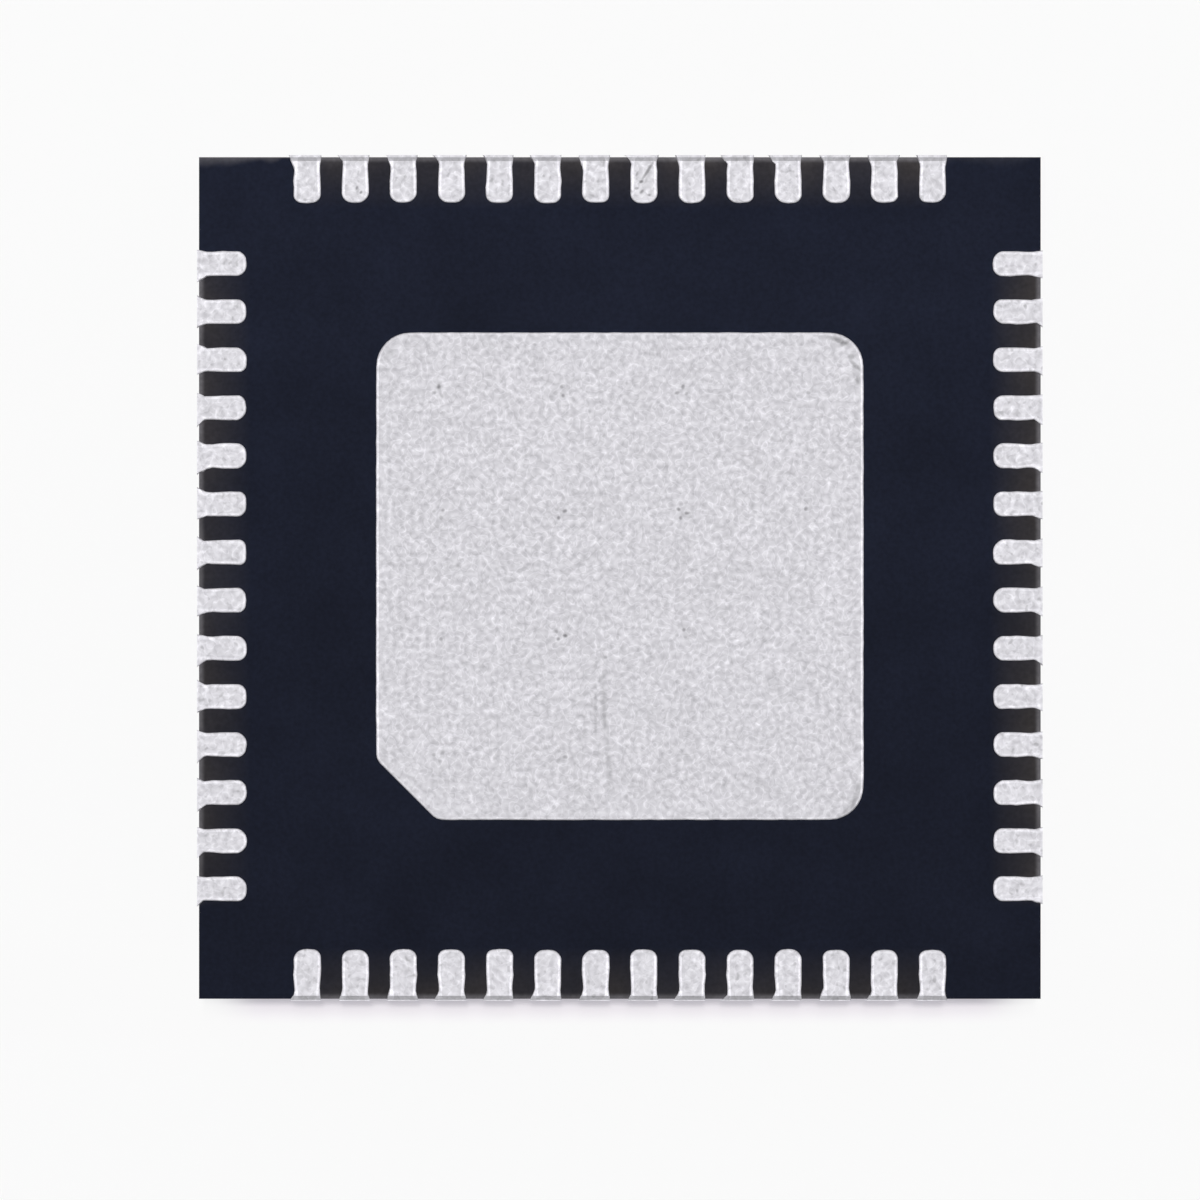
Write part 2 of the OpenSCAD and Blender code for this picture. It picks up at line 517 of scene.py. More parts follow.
@dataclass(frozen=True)
class MouldCompound:
    """Epoxy moulding compound with silica filler, with four sawn sides. Lengths are in millimetres."""

    half_body: float
    face_z: float
    name: str = "silica_filled_epoxy_moulded_and_sawn"
    face: str = "#171b29"
    band_colour: str = "#353233"
    edge: str = "#646266"
    sawn: str = "#3d3c40"
    filler: str = "#7d7b79"
    roughness: float = 0.8
    specular: float = 0.08
    band_w: float = 0.43
    edge_w: float = 0.06
    row_ends: tuple[float, float] = (2.55, 2.75)
    minus_x_share: float = 0.78
    patch: float = 0.5
    patch_span: tuple[float, float] = (0.3, 0.7)
    patch_swing: float = 0.3
    chip_span: tuple[float, float] = (0.35, 0.55)
    chip_widths: tuple[float, float] = (0.022, 0.13)
    wear_bend: float = 2.0
    wear_reach: tuple[float, float] = (0.5, 1.4)
    wear_shares: tuple[float, float] = (0.62, 0.12)
    cloud: float = 0.6
    cloud_swing: float = 0.15
    painted_light_gradient: tuple[float, float] = (0.84, 1.14)
    filler_size: float = 0.035
    filler_swing: float = 0.16
    filler_height: float = 0.0008
    sphere_spacings: tuple[float, ...] = (0.062, 0.042, 0.03)
    sphere_r: float = 0.5
    sphere_edge: float = 0.14
    sphere_share: float = 0.6
    line: float = 0.02
    line_run: float = 1.2
    line_span: tuple[float, float] = (0.7, 1.3)
    line_swing: float = 0.3

    def material(self) -> Material:
        """Makes the block.

        Its moulded faces are matt navy black with a faint cloudiness and the fine grain of the filler.
        Between the lands the terminal side turns paler grey towards its edges. The sawn sides are greyer,
        with cut filler and the lines of the blade.

        Returns:
            The material.
        """
        material, tree, place = new_material(self.name)
        at = BlockPlace.measure(tree, place, self.half_body, self.face_z)
        specks = add_node(tree, "TexNoise", {"Vector": place, "Scale": 1 / self.filler_size, "Detail": 2.0})
        side = add_node(tree, "Math", (at.inset, NEAR), operation="LESS_THAN")
        lower = add_node(tree, "Math", (1.0, at.upper), operation="SUBTRACT")
        side = add_node(tree, "Math", (side, lower), operation="MULTIPLY")
        faces = {0: side, 6: self.moulded_colour(at), 7: self.sawn_colour(at, specks)}
        colour = add_node(tree, "Mix", faces, data_type="RGBA").outputs[2]
        shade = self.shade(at, specks)
        colour = add_node(tree, "VectorMath", {0: colour, "Scale": shade}, operation="SCALE")
        normal = add_node(tree, "Bump", {"Height": specks, "Distance": self.filler_height * MM})
        finish = {
            "Base Color": colour,
            "Roughness": self.roughness,
            "Specular IOR Level": self.specular,
            "Normal": normal,
        }
        shader = add_node(tree, "BsdfPrincipled", finish)
        add_node(tree, "OutputMaterial", {"Surface": shader})
        return material

    def moulded_colour(self, at: BlockPlace) -> NodeSocket:
        """Mixes the colour of the moulded faces, with the paler band and the wear of the terminal side.

        Args:
            at: Place on the block.

        Returns:
            Dark compound, greyer between the lands and palest along its edges.
        """
        chips = add_node(at.tree, "TexNoise", {"Vector": at.place, "Scale": 1 / self.patch, "Detail": 2.0})
        pale_share = self.pale_share(at, chips)
        band = add_node(at.tree, "MapRange", (at.inset, 0.0, self.band_w, 1.0, 0.0))
        band = add_node(at.tree, "Math", (band, pale_share), operation="MULTIPLY")
        edges = (at.inset, 0.0, self.edge_w, 1.0, 0.0)
        brink = add_node(at.tree, "MapRange", edges, interpolation_type="SMOOTHERSTEP")
        brink = add_node(at.tree, "Math", (brink, pale_share), operation="MULTIPLY")
        brink = add_node(at.tree, "Math", (brink, self.wear(at, chips)), operation="MAXIMUM")
        colour = linear(self.face)
        for share, code in ((band, self.band_colour), (brink, self.edge)):
            layers = {0: share, 6: colour, 7: linear(code)}
            colour = add_node(at.tree, "Mix", layers, data_type="RGBA").outputs[2]
        return colour

    def pale_share(self, at: BlockPlace, chips: Node) -> Node:
        """Works out the share of the paler band: only along the rows of lands, patchy, and less towards -X.

        Args:
            at: Place on the block.
            chips: Noise of the band's patches.

        Returns:
            Share of the paler band, before it fades away from the edge.
        """
        pale_share = add_node(at.tree, "MapRange", (at.x, -self.half_body, self.half_body, self.minus_x_share, 1.0))
        patchy = add_node(at.tree, "MapRange", (chips, *self.patch_span, *around(1, self.patch_swing)))
        ends = (at.lane, *self.row_ends, 1.0, 0.0)
        row = add_node(at.tree, "MapRange", ends, interpolation_type="SMOOTHSTEP")
        for factor in (patchy, at.upper, row):
            pale_share = add_node(at.tree, "Math", (pale_share, factor), operation="MULTIPLY")
        return pale_share

    def wear(self, at: BlockPlace, chips: Node) -> Node:
        """Works out how far the edge at +Y is worn, most of all near its corner at -X.

        Args:
            at: Place on the block.
            chips: Noise of the worn patches.

        Returns:
            Share of worn compound.
        """
        reach = add_node(at.tree, "MapRange", (chips, *self.chip_span, *self.chip_widths))
        from_edge = add_node(at.tree, "Math", (self.half_body, at.y), operation="SUBTRACT")
        worn = add_node(at.tree, "Math", (from_edge, reach), operation="DIVIDE")
        worn = add_node(at.tree, "MapRange", (worn, 0.0, 1.0, 1.0, 0.0))
        worn = add_node(at.tree, "Math", (worn, self.wear_bend), operation="POWER")
        worn = add_node(at.tree, "Math", (worn, at.upper), operation="MULTIPLY")
        corner = (-self.half_body, self.half_body, self.face_z)
        away = add_node(at.tree, "VectorMath", (at.place, corner), operation="DISTANCE").outputs["Value"]
        share = add_node(at.tree, "MapRange", (away, *self.wear_reach, *self.wear_shares))
        return add_node(at.tree, "Math", (worn, share), operation="MULTIPLY")

    def sawn_colour(self, at: BlockPlace, specks: Node) -> Node:
        """Mixes the colour of the sawn sides.

        Args:
            at: Place on the block.
            specks: Noise of the filler's grain size.

        Returns:
            Dark compound with the pale cut discs of filler spheres, in lines along the cut.
        """
        tree = at.tree
        colour = linear(self.sawn)
        for spacing in self.sphere_spacings:
            cells = add_node(tree, "TexVoronoi", {"Vector": at.place, "Scale": 1 / spacing}).outputs
            # A cell's own colour follows its centre, so on a flat cut it has to be drawn afresh.
            drawn = add_node(tree, "TexWhiteNoise", {"Vector": cells["Color"]}).outputs["Color"]
            chance = add_node(tree, "SeparateColor", (drawn,)).outputs
            radius = add_node(tree, "MapRange", (chance["Red"], 0.0, 1.0, -self.sphere_edge, self.sphere_r))
            inside = add_node(tree, "Math", (radius, cells["Distance"]), operation="SUBTRACT")
            edges = (inside, 0.0, self.sphere_edge, 0.0, self.sphere_share)
            disc = add_node(tree, "MapRange", edges, interpolation_type="SMOOTHSTEP")
            share = add_node(tree, "Math", (disc, chance["Green"]), operation="MULTIPLY")
            layers = {0: share, 6: colour, 7: linear(self.filler)}
            colour = add_node(tree, "Mix", layers, data_type="RGBA").outputs[2]
        fine = (1 / self.line_run, 1 / self.line_run, 1 / self.line)
        along = add_node(tree, "VectorMath", (at.place, fine), operation="MULTIPLY")
        lines = add_node(tree, "TexNoise", {"Vector": along, "Scale": 1.0, "Detail": 4.0})
        mixed = add_node(tree, "Math", (lines, specks), operation="ADD")
        shade = add_node(tree, "MapRange", (mixed, *self.line_span, *around(1, self.line_swing)))
        return add_node(tree, "VectorMath", {0: colour, "Scale": shade}, operation="SCALE")

    def shade(self, at: BlockPlace, specks: Node) -> Node:
        """Works out the block's faint cloudiness, painted light that brightens it towards +Y, and the
        filler's grain.

        Args:
            at: Place on the block.
            specks: Noise of the filler's grain size.

        Returns:
            Brightness, about one.
        """
        cloud = add_node(at.tree, "TexNoise", {"Vector": at.place, "Scale": 1 / self.cloud, "Detail": 3.0})
        shade = add_node(at.tree, "MapRange", (cloud, *NOISE_SPAN, *around(1, self.cloud_swing)))
        # Painted light: the block turns brighter towards +Y, where the lamps hang.
        painted_light_gradient = add_node(at.tree, "MapRange", (at.y, -self.half_body, self.half_body, *self.painted_light_gradient))
        grit = add_node(at.tree, "MapRange", (specks, *NOISE_SPAN, *around(1, self.filler_swing)))
        for factor in (painted_light_gradient, grit):
            shade = add_node(at.tree, "Math", (shade, factor), operation="MULTIPLY")
        return shade


@dataclass(frozen=True)
class InnerFinish:
    """A smooth material of a piece inside the block, with a slight change of shade over it."""

    name: str
    colour: str
    metallic: float
    roughness: float
    blotch: float
    swing: float = 0.12

    def material(self) -> Material:
        """Makes the material: even in colour, a little cloudy in shade and polish.

        Returns:
            The material.
        """
        material, tree, place = new_material(self.name)
        cloud = add_node(tree, "TexNoise", {"Vector": place, "Scale": 1 / self.blotch, "Detail": 3.0})
        shade = add_node(tree, "MapRange", (cloud, 0.0, 1.0, *around(1, self.swing)))
        colour = add_node(tree, "VectorMath", {0: linear(self.colour)[:3], "Scale": shade}, operation="SCALE")
        rough = add_node(tree, "Math", (shade, self.roughness), operation="MULTIPLY")
        finish = {"Base Color": colour, "Metallic": self.metallic, "Roughness": rough}
        shader = add_node(tree, "BsdfPrincipled", finish)
        add_node(tree, "OutputMaterial", {"Surface": shader})
        return material


@dataclass
class PlatedPiece:
    """Shaping that the lead frame's pieces share. Meshes are made in millimetres."""

    package: Package

    @staticmethod
    def blank() -> BMesh:
        """Starts a mesh that can hold the painted highlight of its rim.

        Returns:
            The empty mesh.
        """
        bm = bmesh.new()
        bm.verts.layers.float.new(RIM_HIGHLIGHT)
        return bm

    @staticmethod
    def lift(bm: BMesh, face: BMFace, height: float) -> BMFace:
        """Extrudes a level face to another height.

        Args:
            bm: Mesh that holds the face.
            face: Face to extrude.
            height: Height of the new face.

        Returns:
            The new face.
        """
        made = bmesh.ops.extrude_face_region(bm, geom=[face])["geom"]
        for vert in verts_of(made):
            vert.co.z = height
        return next(item for item in made if isinstance(item, BMFace))

    @staticmethod
    def score(bm: BMesh, faces: list[BMFace], point: tuple, normal: tuple) -> None:
        """Divides faces along a plane.

        Args:
            bm: Mesh that holds the faces.
            faces: Faces to divide.
            point: A point of the plane.
            normal: Direction across the plane.
        """
        geom = {*faces, *(e for f in faces for e in f.edges), *(v for f in faces for v in f.verts)}
        bmesh.ops.bisect_plane(bm, geom=list(geom), dist=NEAR, plane_co=point, plane_no=normal)

    def round_edges_and_paint_highlight(
        self, bm: BMesh, edges: list[BMEdge], rounding: float, ring: float, highlight_x: float, highlight_y: float
    ) -> None:
        """Rounds edges of the terminal face and paints a highlight on the strip along its outline.

        Args:
            bm: Mesh that holds the face.
            edges: Edges to round.
            rounding: Width of the rounding.
            ring: Width of the strip with the painted highlight, which then fades out over half as much again.
            highlight_x: Painted highlight of the edges that face the mesh's x.
            highlight_y: Painted highlight of the edges that face the mesh's y.
        """
        height = self.package.body_h
        bmesh.ops.bevel(
            bm,
            geom=edges,
            offset=rounding,
            segments=ROUNDING_SEGMENTS,
            profile=0.5,
            affect="EDGES",
            material=-1,
        )
        bm.normal_update()
        level = [f for f in bm.faces if f.normal.z > FLAT and min(v.co.z for v in f.verts) > height - NEAR]
        for width in (ring, ring / 2):
            bmesh.ops.inset_region(bm, faces=level, thickness=width, use_boundary=True, use_even_offset=True)
        bm.normal_update()
        inner = {v for f in level for v in f.verts}
        # The painted highlight is strongest where the outline faces the mesh's x or y.
        rim_highlight = bm.verts.layers.float[RIM_HIGHLIGHT]
        for vert in bm.verts:
            if vert.co.z < height - rounding - NEAR or vert in inner:
                continue
            inward = [e.other_vert(vert) for e in vert.link_edges if e.other_vert(vert) in inner]
            out = vert.co.xy - inward[0].co.xy if inward else vert.normal.xy
            if out.length > 0:
                out.normalize()
                vert[rim_highlight] = highlight_x * out.x**RIM_HIGHLIGHT_FOCUS + highlight_y * out.y**RIM_HIGHLIGHT_FOCUS

    @staticmethod
    def finish(bm: BMesh, name: str, skins: list[Material], nodes: list[str]) -> Object:
        """Turns a mesh in millimetres into a finished piece.

        Args:
            bm: The mesh, which is freed.
            name: Name of the piece.
            skins: Materials in the order of Skin.
            nodes: CAD nodes that the piece stands for.

        Returns:
            The piece.
        """
        bmesh.ops.recalc_face_normals(bm, faces=bm.faces)
        bmesh.ops.scale(bm, vec=(MM, MM, MM), verts=bm.verts)
        mesh = bpy.data.meshes.new(name)
        bm.to_mesh(mesh)
        bm.free()
        for skin in skins:
            mesh.materials.append(skin)
        mesh.shade_smooth()
        mesh.set_sharp_from_angle(angle=SHARP_FROM)
        piece = bpy.data.objects.new(name, mesh)
        bpy.context.scene.collection.objects.link(piece)
        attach(piece, BODY)
        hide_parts(*nodes)
        LOG.info("%s: %d faces", name, len(mesh.polygons))
        return piece


@dataclass(frozen=True)
class SawRidge:
    """The saw's ridge along the cut end of a land.

    Its points are pairs of distance from the cut and height over the land, in millimetres.
    """

    points: tuple[tuple[float, float], ...]

    @property
    def foot(self) -> float:
        """Distance from the cut at which the land is level again."""
        return self.points[-1][0]

    def height(self, reach: float) -> float:
        """Height over the land at a distance from the cut.

        Args:
            reach: Distance from the cut end.

        Returns:
            How far the surface stands above the land.
        """
        for (near, low), (far, high) in zip(self.points, self.points[1:]):
            if reach < far:
                return low + (high - low) * (reach - near) / (far - near)
        return 0.0


RIDGES = {
    Side.LEFT: SawRidge(((0.0, 0.004), (0.02, 0.005), (0.06, 0.0))),
    Side.TOP: SawRidge(((0.0, 0.015), (0.018, 0.018), (0.048, 0.003), (0.075, 0.0))),
    Side.RIGHT: SawRidge(((0.0, 0.004), (0.03, 0.006), (0.07, 0.0))),
    Side.BOTTOM: SawRidge(((0.0, -0.017), (0.006, -0.017), (0.042, 0.009), (0.085, 0.0))),
}


@dataclass
class PlatedLead(PlatedPiece):
    """One lead, made pointing along -X: land, half-etched lock tab, and the burrs at its sawn end.

    The land narrows by its waist towards the cut end. Its outline wavers at the points of its flank, where
    the waist ends, at the shoulder and at the tip. A burr runs back along the land for its short to its long
    length, and its taper is blunt to sharp. A film of compound covers the corners of the tip. Lengths are in
    millimetres.
    """

    number: int
    row_land_w: float = 0.222
    column_land_w: float = 0.204
    land_l: float = 0.39
    waist: float = 0.022
    waist_l: float = 0.2
    flank: tuple[float, ...] = (0.0, 0.05, 0.13)
    shoulder: float = 0.27
    tab_l: float = 0.18
    tab_w: float = 0.16
    tab_r: float = 0.05
    end_proud: float = 0.015
    burr_short: float = 0.055
    burr_long: float = 0.11
    burr_blunt: float = 0.6
    burr_sharp: float = 1.5
    burr_jag: float = 1.35
    burr_extra: float = 0.006
    left_burr_extra: float = 0.024
    hold: float = 0.02
    lip: float = 0.001
    rounding: float = 0.01
    ring: float = 0.013
    waver: float = 0.006
    tip_r_least: float = 0.05
    tip_r_most: float = 0.08
    tip_segments: int = 6
    tip_waver: float = 0.007
    tip_crown: float = 0.004
    tip_l: float = 0.1
    column_film: float = 0.024
    row_film: float = 0.014
    film_slope: float = 0.5
    # Painted highlight on the rims of the lands in columns and in rows, along the mesh's x and y.
    column_highlight: tuple[float, float] = (0.6, 0.45)
    row_highlight: tuple[float, float] = (0.25, 0.85)

    def __post_init__(self) -> None:
        """Works out where the lead is."""
        per_side = self.package.per_side
        self.side = Side((self.number - 1) // per_side)
        self.turn = -math.pi / 2 * self.side
        shift = Matrix.Rotation(-self.turn, 2) @ Vector((0, self.package.frame_shift))
        place = (self.number - 1) % per_side - (per_side - 1) / 2
        self.centre = place * self.package.pitch + shift.y
        self.end_x = -self.package.half_body - self.end_proud
        self.tip_x = self.land_l - self.package.half_body + shift.x
        self.in_column = self.side in (Side.LEFT, Side.RIGHT)
        self.half_w = (self.column_land_w if self.in_column else self.row_land_w) / 2
        self.half_waist = self.half_w - self.waist / 2
        self.node = f"lead_{self.number:02d}"
        self.rng = random.Random(self.number)

    def burrs(self) -> tuple[float, float]:
        """Reads from the CAD node how far the burr stands out on each side.

        Returns:
            The burr towards the mesh's -Y and towards its +Y.
        """
        low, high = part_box(self.node)
        middle = Matrix.Rotation(self.turn, 2) @ Vector((self.end_x, self.centre))
        axis = 1 if self.in_column else 0
        below = middle[axis] - low[axis] / MM - self.half_waist
        above = high[axis] / MM - middle[axis] - self.half_waist
        return (below, above) if self.side in (Side.LEFT, Side.TOP) else (above, below)

    def half_width(self, reach: float) -> float:
        """Half the width of the land's pocket in the block at a distance from the cut end."""
        share = min(1.0, reach / (self.waist_l + self.end_proud))
        return self.half_waist + (self.half_w - self.half_waist) * share

    def overgrowth(self, most: float) -> float:
        """Draws how far the plating has grown over the pocket's edge: nothing at half of all places."""
        return max(0.0, self.rng.uniform(-most, most))

    def outline(self, bm: BMesh) -> BMFace:
        """Makes the land's slightly wavering outline with its rounded tip.

        Args:
            bm: Mesh that takes the outline.

        Returns:
            The level face inside it, at the foot of the sheet.
        """
        length = self.tip_x - self.end_x
        waist = self.waist_l + self.end_proud
        edges = {}
        for hand in (-1, 1):
            tip_reach = length + self.overgrowth(self.tip_waver)
            edges[hand] = []
            for reach in (*self.flank, waist, self.shoulder, tip_reach):
                half = self.half_width(reach) + self.overgrowth(self.waver)
                edges[hand].append(bm.verts.new((self.end_x + reach, hand * half, self.package.frame_z)))
        tips = [edge[-1] for edge in edges.values()]
        crown_x = max(tip.co.x for tip in tips) + self.tip_crown
        crown = bm.verts.new((crown_x, 0, self.package.frame_z))
        bm.faces.new([*edges[-1], crown, *edges[1][::-1]])
        for tip in tips:
            bmesh.ops.bevel(
                bm,
                geom=[tip],
                offset=self.rng.uniform(self.tip_r_least, self.tip_r_most),
                segments=self.tip_segments,
                profile=0.5,
                affect="VERTICES",
                material=-1,
            )
        bm.faces.ensure_lookup_table()
        return bm.faces[0]

    def grow_tab(self, bm: BMesh) -> None:
        """Draws the lock tab out of the half-etched part of the tip.

        Args:
            bm: Mesh of the lead.
        """
        half = self.tab_w / 2
        near_tip = self.tip_x - self.tip_r_most - NEAR
        for hand in (-1, 1):
            self.score(bm, self.etched_walls(bm, near_tip), (0, hand * half, 0), (0, 1, 0))
        walls = [f for f in self.etched_walls(bm, near_tip) if abs(f.calc_center_median().y) < half]
        made = bmesh.ops.extrude_face_region(bm, geom=walls)["geom"]
        straight = half - self.tab_r
        for vert in verts_of(made):
            past = min(max(abs(vert.co.y) - straight, 0), self.tab_r)
            vert.co.x = self.tip_x + self.tab_l - self.tab_r + math.sqrt(self.tab_r**2 - past**2)

    def etched_walls(self, bm: BMesh, from_x: float) -> list[BMFace]:
        """Finds the walls of the half-etched layer at the tip.

        Args:
            bm: Mesh of the lead.
            from_x: Where the tip starts.

        Returns:
            The wall faces.
        """
        bm.normal_update()
        return [
            f
            for f in bm.faces
            if abs(f.normal.z) < 1 - FLAT
            and max(v.co.z for v in f.verts) < self.package.etched_z + NEAR
            and min(v.co.x for v in f.verts) > from_x
            and f.normal.x > NEAR
        ]

    def draw_back_tip(self, bm: BMesh) -> None:
        """Draws the land's tip back from the corners of its pocket, where a film of compound covers it.

        Args:
            bm: Mesh of the lead.
        """
        most = self.column_film if self.in_column else self.row_film
        film = {hand: self.rng.uniform(0, most) for hand in (-1, 1)}
        for vert in bm.verts:
            past = (vert.co.x - self.tip_x) / self.tip_l + 1
            if vert.co.z > self.package.mould_z + NEAR and past > 0:
                hand = 1 if vert.co.y > 0 else -1
                vert.co.x -= film[hand] * min(past, 1.0) * (vert.co.y / self.half_w) ** 2

    def skin_of(self, face: BMFace) -> Skin:
        """Tells which material a face of the lead shows.

        Args:
            face: Face with its normal up to date.

        Returns:
            The material slot.
        """
        if face.normal.x < -FLAT and face.calc_center_median().x < self.end_x + NEAR:
            return Skin.SAWN
        heights = [vert.co.z - self.package.mould_z for vert in face.verts]
        if face.normal.z > self.film_slope and min(heights) > -NEAR and max(heights) < self.lip + NEAR:
            return Skin.FILM
        return Skin.PLATED

    def raise_ridge(self, bm: BMesh) -> None:
        """Raises the saw's ridge at the cut end and smears its burrs out to both sides.

        Args:
            bm: Mesh of the lead.
        """
        ridge = RIDGES[self.side]
        floor_z = self.package.mould_z + self.lip - NEAR
        for reach in [reach for reach, _ in ridge.points[1:]] + [ridge.foot + self.hold]:
            faces = [f for f in bm.faces if min(v.co.z for v in f.verts) > floor_z]
            self.score(bm, faces, (self.end_x + reach, 0, 0), (1, 0, 0))
        extra = self.left_burr_extra if self.side is Side.LEFT else self.burr_extra
        sizes = [burr + self.rng.uniform(0, extra) for burr in self.burrs()]
        depths = [self.rng.uniform(self.burr_short, self.burr_long) for _ in sizes]
        bends = [self.rng.uniform(self.burr_blunt, self.burr_sharp) for _ in sizes]
        inner = self.half_waist - self.ring
        for vert in bm.verts:
            reach = vert.co.x - self.end_x
            if vert.co.z < floor_z or reach > max(ridge.foot, self.burr_long):
                continue
            if vert.co.z > floor_z + self.lip:
                vert.co.z = max(vert.co.z + ridge.height(reach), floor_z + 2 * self.lip)
            hand = int(vert.co.y > 0)
            if abs(vert.co.y) > inner and reach < depths[hand]:
                fade = (1 - reach / depths[hand]) ** bends[hand]
                jag = self.rng.uniform(1, self.burr_jag)
                vert.co.y += math.copysign(fade * jag * sizes[hand], vert.co.y)

    def build(self, skins: list[Material]) -> Object:
        """Models the lead and puts it in its place.

        Args:
            skins: Materials in the order of Skin.

        Returns:
            The piece.
        """
        bm = self.blank()
        top = self.outline(bm)
        for height in (
            self.package.etched_z,
            self.package.mould_z,
            self.package.mould_z + self.lip,
            self.package.body_h,
        ):
            top = self.lift(bm, top, height)
        self.grow_tab(bm)
        self.draw_back_tip(bm)
        worn = [e for e in top.edges if max(v.co.x for v in e.verts) > self.end_x + NEAR]
        rim_highlight = self.column_highlight if self.in_column else self.row_highlight
        self.round_edges_and_paint_highlight(bm, worn, self.rounding, self.ring, *rim_highlight)
        self.raise_ridge(bm)
        bmesh.ops.recalc_face_normals(bm, faces=bm.faces)
        for face in bm.faces:
            face.material_index = self.skin_of(face)
        bmesh.ops.translate(bm, vec=(0, self.centre, 0), verts=bm.verts)
        bmesh.ops.rotate(bm, cent=(0, 0, 0), matrix=Matrix.Rotation(self.turn, 3, "Z"), verts=bm.verts)
        return self.finish(bm, f"tinned_{self.node}", skins, [self.node])


@dataclass
class PlatedPaddle(PlatedPiece):
    """The paddle: exposed pad with its chamfered corner, half-etched rim and four tie bars.

    Cuts divide the edges of the pad: its sides waver at them, and a tie bar grows from the middle of the
    chamfer. Lengths are in millimetres.
    """

    pad_w: float = 4.05
    pad_r: float = 0.28
    chamfer: float = 0.5
    chamfer_r: float = 0.1
    rim_w: float = 0.15
    tie_w: float = 0.15
    rounding: float = 0.01
    ring: float = 0.01
    waver: float = 0.004
    side_cuts: int = 40
    chamfer_cuts: int = 9
    corner_segments: int = 8
    chamfer_segments: int = 2
    # Painted highlight on the pad's rim, along x and y.
    rim_highlight_x: float = 1.0
    rim_highlight_y: float = 0.3
    seed: int = 3

    def outline(self, bm: BMesh) -> BMFace:
        """Makes the pad's outline with rounded corners and one chamfer.

        Args:
            bm: Mesh that takes the outline.

        Returns:
            The level face inside it, at the foot of the full sheet.
        """
        half = self.pad_w / 2
        cut = self.chamfer - half
        corners = ((half, -half), (half, half), (-half, half), (-half, cut), (cut, -half))
        verts = [bm.verts.new((x, y + self.package.frame_shift, self.package.etched_z)) for x, y in corners]
        bm.faces.new(verts)
        chamfer_reach = self.chamfer_r * math.tan(math.pi / 8)
        for geom, reach, segments in (
            (verts[:3], self.pad_r, self.corner_segments),
            (verts[3:], chamfer_reach, self.chamfer_segments),
        ):
            bmesh.ops.bevel(
                bm, geom=geom, offset=reach, segments=segments, profile=0.5, affect="VERTICES", material=-1
            )
        rng = random.Random(self.seed)
        middle = Vector((0, self.package.frame_shift))
        slants = [e for e in bm.edges if self.chamfer < e.calc_length() < 2 * self.chamfer]
        straights = [e for e in bm.edges if e.calc_length() > 2 * self.chamfer]
        bmesh.ops.subdivide_edges(bm, edges=slants, cuts=self.chamfer_cuts)
        made = bmesh.ops.subdivide_edges(bm, edges=straights, cuts=self.side_cuts)
        for vert in verts_of(made["geom_inner"]):
            off = vert.co.xy - middle
            axis = 0 if abs(off.x) > half - NEAR else 1
            vert.co[axis] += math.copysign(rng.uniform(0, self.waver), off[axis])
        bm.faces.ensure_lookup_table()
        return bm.faces[0]

    def grow_rim(self, bm: BMesh, foot: BMFace) -> None:
        """Spreads the foot of the pad into the half-etched rim.

        Args:
            bm: Mesh of the paddle.
            foot: Level face under the pad.
        """
        spread = 1 + 2 * self.rim_w / self.pad_w
        made = bmesh.ops.extrude_face_region(bm, geom=[foot])["geom"]
        bmesh.ops.scale(
            bm,
            vec=(spread, spread, 1),
            space=Matrix.Translation((0, -self.package.frame_shift, 0)),
            verts=verts_of(made),
        )
        self.lift(bm, next(f for f in made if isinstance(f, BMFace)), self.package.frame_z)

    def grow_tie(self, bm: BMesh, hand_x: int, hand_y: int) -> None:
        """Draws one tie bar out of the two middle walls at a corner of the rim, to a corner of the block.

        Args:
            bm: Mesh of the paddle.
            hand_x: Side of the corner along x, -1 or 1.
            hand_y: Side of the corner along y, -1 or 1.
        """
        bm.normal_update()
        along = Vector((hand_x, hand_y)).normalized()
        across = along.orthogonal()
        middle = Vector((0, self.package.frame_shift))
        walls = [
            f
            for f in bm.faces
            if f.normal.xy.dot(along) > DIAGONAL
            and max(v.co.z for v in f.verts) < self.package.etched_z + NEAR
        ]
        walls.sort(key=lambda f: abs((f.calc_center_median().xy - middle).dot(across)))
        made = bmesh.ops.extrude_face_region(bm, geom=walls[:2])["geom"]
        corner = Vector((hand_x, hand_y)) * self.package.half_body
        for vert in verts_of(made):
            off = (vert.co.xy - middle).dot(across)
            hand = 0 if abs(off) < NEAR else math.copysign(1, off)
            vert.co.xy = corner + (across * hand - along * abs(hand)) * self.tie_w / 2

    def build(self, skins: list[Material]) -> Object:
        """Models the paddle.

        Args:
            skins: Materials in the order of Skin.

        Returns:
            The piece.
        """
        bm = self.blank()
        foot = self.outline(bm)
        top = self.lift(bm, foot, self.package.body_h)
        self.grow_rim(bm, foot)
        for hand_x, hand_y in itertools.product((-1, 1), repeat=2):
            self.grow_tie(bm, hand_x, hand_y)
        self.round_edges_and_paint_highlight(bm, list(top.edges), self.rounding, self.ring, self.rim_highlight_x, self.rim_highlight_y)
        edge = self.package.half_body - NEAR
        for face in bm.faces:
            if min(max(abs(v.co.x), abs(v.co.y)) for v in face.verts) > edge:
                face.material_index = Skin.SAWN
        return self.finish(bm, "tinned_die_paddle", skins, ["die_paddle"])


